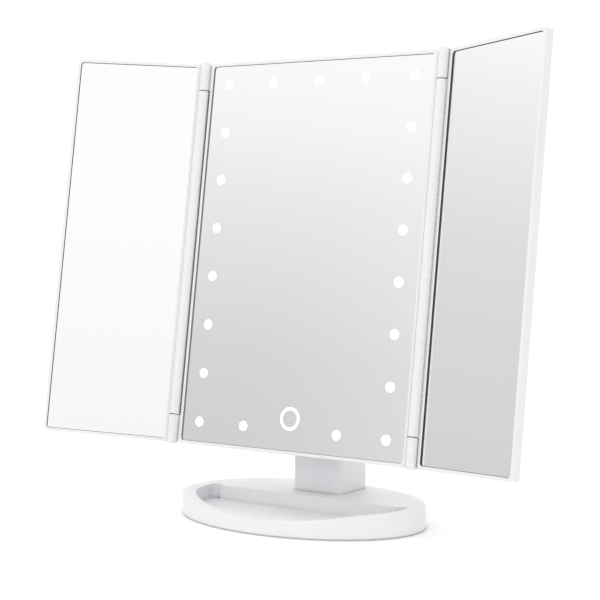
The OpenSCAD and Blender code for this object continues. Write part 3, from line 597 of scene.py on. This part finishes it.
one = bmesh.new()
grid = bmesh.ops.create_grid(one, x_segments=3, y_segments=3, size=CROSS_W)["verts"]
border = [e for e in one.edges if len(e.link_faces) == 1]
inner = [v for v in grid if max(abs(v.co.x), abs(v.co.y)) < 1]
bmesh.ops.scale(one, vec=(0.62, 0.62, 1), verts=inner)
middles = {f: f.calc_center_median() for f in one.faces}
cross = [f for f, middle in middles.items() if min(abs(middle.x), abs(middle.y)) < 0.1]
disc = bmesh.ops.create_circle(one, segments=24, radius=HEAD_R)["verts"]
rim = list({e for v in disc for e in v.link_edges})
bmesh.ops.bridge_loops(one, edges=border + rim)
pushed = vertices(bmesh.ops.extrude_face_region(one, geom=cross)["geom"])
bmesh.ops.translate(one, vec=(0, 0, -CROSS_DEEP), verts=pushed)
bmesh.ops.scale(one, vec=(0.7, 0.7, 1), verts=pushed)
tip = ring_out(one, ring_out(one, rim, SHANK_R, HEAD_T), SHANK_R, SHANK_L)
bmesh.ops.edgeloop_fill(one, edges=tip)
bmesh.ops.recalc_face_normals(one, faces=one.faces)
screw = bpy.data.meshes.new("one_screw")
one.to_mesh(screw)
one.free()

# Each cross stands at its own angle, as a driver leaves it
bm = bmesh.new()
for x, z in screw_spots:
    before = len(bm.verts)
    bm.from_mesh(screw)
    bm.verts.ensure_lookup_table()
    seat = Matrix.Translation((x, BACK_Y - SUNK, z)) @ Matrix.Rotation(math.radians(-90), 4, "X")
    turned = seat @ Matrix.Rotation(0.3 * x + z, 4, "Z")
    bmesh.ops.transform(bm, matrix=turned, verts=bm.verts[before:])
bpy.data.meshes.remove(screw)
bmesh.ops.recalc_face_normals(bm, faces=bm.faces)
put(bm, on_panel)
finish("cover_screws", bm, "center_panel", "steel", [zinc], "back_cover_screws", smooth=30)
print("screws:", len(screw_spots))

# %% Hinge caps
CAP_R, CAP_T, LUG_OUT = 6.9, 1.2, 27.5
bm = bmesh.new()
for side in SIDES:
    outward = Matrix.Rotation(math.radians(side * 90), 4, "Y")
    place = Matrix.Translation((side * (LUG_OUT - CAP_T / 2), 0, 0)) @ outward
    cap = bmesh.ops.create_cone(
        bm, cap_ends=True, segments=64, radius1=CAP_R, radius2=CAP_R, depth=CAP_T, matrix=place
    )["verts"]
    outer = [f for v in cap for f in v.link_faces if f.normal.x * side > 0.9][:1]
    bmesh.ops.inset_region(bm, faces=outer, thickness=0.9, depth=0.0)
    bmesh.ops.inset_region(bm, faces=outer, thickness=0.35, depth=-0.25)
    sharp = {e for v in cap for e in v.link_edges if e.calc_face_angle(0) > 1}
    bevel(bm, [e for e in sharp if e.verts[0].co.x * side > LUG_OUT - 0.1], 0.3, 3)
bmesh.ops.recalc_face_normals(bm, faces=bm.faces)
put(bm, on_panel)
finish("lug_caps", bm, "center_panel", "white_plastic", [panel_abs], "hinge_caps", smooth=30)

# %% [markdown]
# ## The mirrors
# Each glass starts as a box, because a box has exactly the four upright edges whose corners are
# rounded. The front and back outlines then get a fine ground chamfer. The faces round the sides
# take the black painted gap shade, and the front keeps the silver. The dark sides fill most of the
# gap round a glass, so the glass is drawn a quarter millimetre larger.


# %% Three glasses
GLASS_GROW = 0.25
CORNER_R, GROUND_EDGE = 1.5, 0.12


def depth_of(edge):
    return abs(edge.verts[0].co.y - edge.verts[1].co.y)


def glass(name, width, middle_x, front_y, place, body, stands_for):
    bm = bmesh.new()
    bmesh.ops.create_cube(bm, size=1.0)
    bmesh.ops.scale(bm, vec=(width + 2 * GLASS_GROW, GLASS_T, GLASS_H + 2 * GLASS_GROW), verts=bm.verts)
    bevel(bm, [e for e in bm.edges if depth_of(e) > 1], CORNER_R, 6)
    outline = [e for e in bm.edges if depth_of(e) < 0.01 and e.calc_face_angle(0) > 1]
    bevel(bm, outline, GROUND_EDGE, 2)
    # Painted shade: the glass sides take the dark lining that stands for the shadow in the gap round the
    # glass
    for face in bm.faces:
        face.material_index = 0 if abs(face.normal.y) > 0.1 else 1
    middle = (middle_x, front_y + GLASS_T / 2, GLASS_LOW + GLASS_H / 2)
    bmesh.ops.translate(bm, vec=middle, verts=bm.verts)
    put(bm, place)
    # A mirrored place turns every face inside out
    if place.determinant() < 0:
        bmesh.ops.reverse_faces(bm, faces=bm.faces)
    finish(name, bm, body, "mirror_glass", [mirror_glass, black_gap_shade], stands_for)


glass("center_glass", GLASS_W, 0, GLASS_Y, on_panel, "center_panel", "center_mirror")
for side, word in SIDES.items():
    middle_x = WING_GLASS_X + WING_GLASS_W / 2
    body, node = f"{word}_wing", f"{word}_wing_mirror"
    glass(f"{word}_glass", WING_GLASS_W, middle_x, WING_GLASS_Y, on_wing(side), body, node)

# %% [markdown]
# ## Light windows and the touch ring
# Where the silver is etched away, light comes through: a round window over each LED, and a thin ring
# round the touch switch. Each window is a short rod of diffuser that ends flush with the glass, so a
# disc is drawn once and pushed back into a rod. The ring is a small rectangle spun round its centre.

# %% Windows and ring
LED_X = GLASS_W / 2 - 12
LED_LOW = PANEL_LOW + 14.1
PITCH, ROWS = 29.8, 8
LED_HIGH = LED_LOW + (ROWS - 1) * PITCH
RING_Z = PANEL_LOW + 20.9
FLUSH = GLASS_Y - 0.02
WINDOW_R, WINDOW_BACK = 2.95, -28.8
spots = [(side * LED_X, LED_LOW + row * PITCH) for side in SIDES for row in range(ROWS)]
spots += [(x * LED_X / 2, LED_HIGH) for x in (-1, 0, 1)]
spots += [(x * LED_X / 2, LED_LOW) for x in (-1, 1)]

bm = bmesh.new()
for x, z in spots:
    place = Matrix.Translation((x, FLUSH, z)) @ Matrix.Rotation(math.radians(90), 4, "X")
    disc = bmesh.ops.create_circle(bm, cap_ends=True, segments=40, radius=WINDOW_R, matrix=place)["verts"]
    moved = bmesh.ops.extrude_face_region(bm, geom=[disc[0].link_faces[0]])["geom"]
    bmesh.ops.translate(bm, vec=(0, WINDOW_BACK - FLUSH, 0), verts=vertices(moved))
bmesh.ops.recalc_face_normals(bm, faces=bm.faces)
put(bm, on_panel)
finish("etched_windows", bm, "center_panel", "window_plastic", [window_glow], "light_windows")

RING_R, RING_LINE = 6.8, 1.6
bm = bmesh.new()
section = bmesh.ops.create_grid(bm, x_segments=1, y_segments=1, size=0.5)["verts"]
bmesh.ops.scale(bm, vec=(RING_LINE, WINDOW_BACK - FLUSH, 1), verts=section)
bmesh.ops.translate(bm, vec=(RING_R - RING_LINE / 2, (WINDOW_BACK + FLUSH) / 2, 0), verts=section)
bmesh.ops.spin(
    bm,
    geom=bm.faces[:] + bm.edges[:] + bm.verts[:],
    cent=(0, 0, 0),
    axis=(0, 1, 0),
    angle=math.tau,
    steps=72,
    use_merge=True,
)
bmesh.ops.remove_doubles(bm, verts=bm.verts, dist=0.001)
bmesh.ops.recalc_face_normals(bm, faces=bm.faces)
bmesh.ops.translate(bm, vec=(0, 0, RING_Z), verts=bm.verts)
put(bm, on_panel)
finish("touch_ring", bm, "center_panel", "window_plastic", [window_glow], "touch_light_ring")
print("windows:", len(spots), "ring radius, mm:", RING_R)

# %% [markdown]
# ## Room, light and camera
# The mirrors show whatever stands in front of them, so the room is the most important finish of
# all. The sky is a soft white studio, bright above and behind the mirror. In front of it the sky
# falls to a pale grey near the horizon, which the centre and right glasses show as a slow shade. The
# part that the left glass looks at stays white.

# %% Floor
FLOOR_R = 12.0
bm = bmesh.new()
bmesh.ops.create_circle(bm, cap_ends=True, segments=96, radius=FLOOR_R)
mesh = bpy.data.meshes.new("floor")
bm.to_mesh(mesh)
bm.free()
# Matt white paint, so pale that only the soft shadow under the base shows on it
floor_paint, tree, shader, mm = start("white_studio_floor")
mottle = add(tree, "ShaderNodeTexNoise", {"Vector": mm, "Scale": 1 / 400, "Detail": 2.0})
tone = add(tree, "ShaderNodeValToRGB", {"Fac": mottle.outputs[0]})
tone.color_ramp.elements[0].color, tone.color_ramp.elements[1].color = linear("f9f9fa"), linear("fbfbfb")
tree.links.new(tone.outputs[0], shader.inputs["Base Color"])
shader.inputs["Roughness"].default_value = 0.9
shader.inputs["Specular IOR Level"].default_value = 0.1
mesh.materials.append(floor_paint)
floor = bpy.data.objects.new("floor", mesh)
bpy.context.scene.collection.objects.link(floor)
print("floor radius, m:", FLOOR_R)

# %% Sky
LEFT_GLASS_SEES = (0.208, -0.978, 0.0)
sky = bpy.data.worlds.new("white_studio")
bpy.context.scene.world = sky
sky.use_nodes = True
tree = sky.node_tree
way = add(tree, "ShaderNodeTexCoord").outputs["Generated"]
parts = add(tree, "ShaderNodeSeparateXYZ", {0: way})
rise = add(tree, "ShaderNodeValToRGB", {"Fac": parts.outputs["Z"]})
stops = rise.color_ramp
stops.elements[0].position, stops.elements[0].color = 0.0, linear("cdcdce")
stops.elements[1].position, stops.elements[1].color = 0.34, linear("ffffff")
for spot, code in (
    (0.02, "d0d0d2"),
    (0.1, "d5d5d6"),
    (0.15, "dadadb"),
    (0.2, "e4e4e5"),
    (0.25, "eeeeef"),
    (0.3, "fafafa"),
):
    stops.elements.new(spot).color = linear(code)
toward = add(tree, "ShaderNodeVectorMath", {0: way, 1: LEFT_GLASS_SEES}, operation="DOT_PRODUCT")
near_key = add(
    tree,
    "ShaderNodeMapRange",
    {"Value": toward.outputs["Value"], "From Min": 0.64, "From Max": 0.93},
    interpolation_type="SMOOTHSTEP",
)
# From the side round to the back the sky is the high, white one as well
behind = add(tree, "ShaderNodeMapRange", {"Value": parts.outputs["Y"], "From Min": 0.1, "From Max": 0.5})
clear = add(tree, "ShaderNodeMath", {0: near_key.outputs[0], 1: behind.outputs[0]}, operation="MAXIMUM")
over = add(tree, "ShaderNodeMath", {0: behind.outputs[0], 1: parts.outputs["Z"]}, operation="MAXIMUM")
high = add(tree, "ShaderNodeValToRGB", {"Fac": over.outputs[0]})
high.color_ramp.elements[0].position, high.color_ramp.elements[0].color = 0.0, linear("f0f0f1")
high.color_ramp.elements[1].position, high.color_ramp.elements[1].color = 0.28, linear("ffffff")
high.color_ramp.elements.new(0.1).color = linear("f7f7f8")
# The low grey is a little darker straight in front than at the sides
round_side = add(
    tree,
    "ShaderNodeMapRange",
    {"Value": parts.outputs["Y"], "From Min": -0.8, "From Max": -0.3, "To Min": 0.965, "To Max": 1.05},
)
shaded = {0: rise.outputs[0], "Scale": round_side.outputs[0]}
low = add(tree, "ShaderNodeVectorMath", shaded, operation="SCALE")
mixed = add(tree, "ShaderNodeMix", {"Factor": clear.outputs[0]}, data_type="RGBA")
tree.links.new(low.outputs[0], mixed.inputs[6])
tree.links.new(high.outputs[0], mixed.inputs[7])
tree.links.new(mixed.outputs[2], tree.nodes["Background"].inputs["Color"])
tree.nodes["Background"].inputs["Strength"].default_value = 1.04
print("grey steps up the sky:", len(stops.elements))


# %% Lamps
# One large lamp overhead gives the shadow under the panel, and a smaller one fills the base. Neither
# shows in the glasses
def softbox(name, place, aim, size, power):
    lamp = bpy.data.lights.new(name, "AREA")
    lamp.shape, lamp.size, lamp.energy = "DISK", size, power
    holder = bpy.data.objects.new(name, lamp)
    holder.location = place
    holder.rotation_euler = (Vector(aim) - Vector(place)).to_track_quat("-Z", "Y").to_euler()
    bpy.context.scene.collection.objects.link(holder)
    holder.visible_glossy = False
    print(name, "power, W:", power)


softbox("overhead_softbox", (-0.5, 0.1, 1.9), (0, 0, 0.1), 1.2, 7.0)
softbox("front_softbox", (0.3, -1.5, 0.55), (0, 0, 0.03), 0.8, 3.2)

# %% Camera
# A long lens from the front right, just above the middle of the glasses and aimed slightly down
lens = bpy.data.cameras.new("camera")
lens.lens, lens.sensor_width = 93.2, 36.0
lens.shift_x, lens.shift_y = -0.00085, -0.0137
camera = bpy.data.objects.new("camera", lens)
camera.location = (0.5172, -0.7556, 0.1868)
camera.rotation_euler = (math.radians(90 - 3.23), 0, math.radians(34.43))
bpy.context.scene.collection.objects.link(camera)
bpy.context.scene.camera = camera
bpy.context.scene.view_settings.view_transform = "Standard"
print("camera distance, m:", round(camera.location.length, 3))
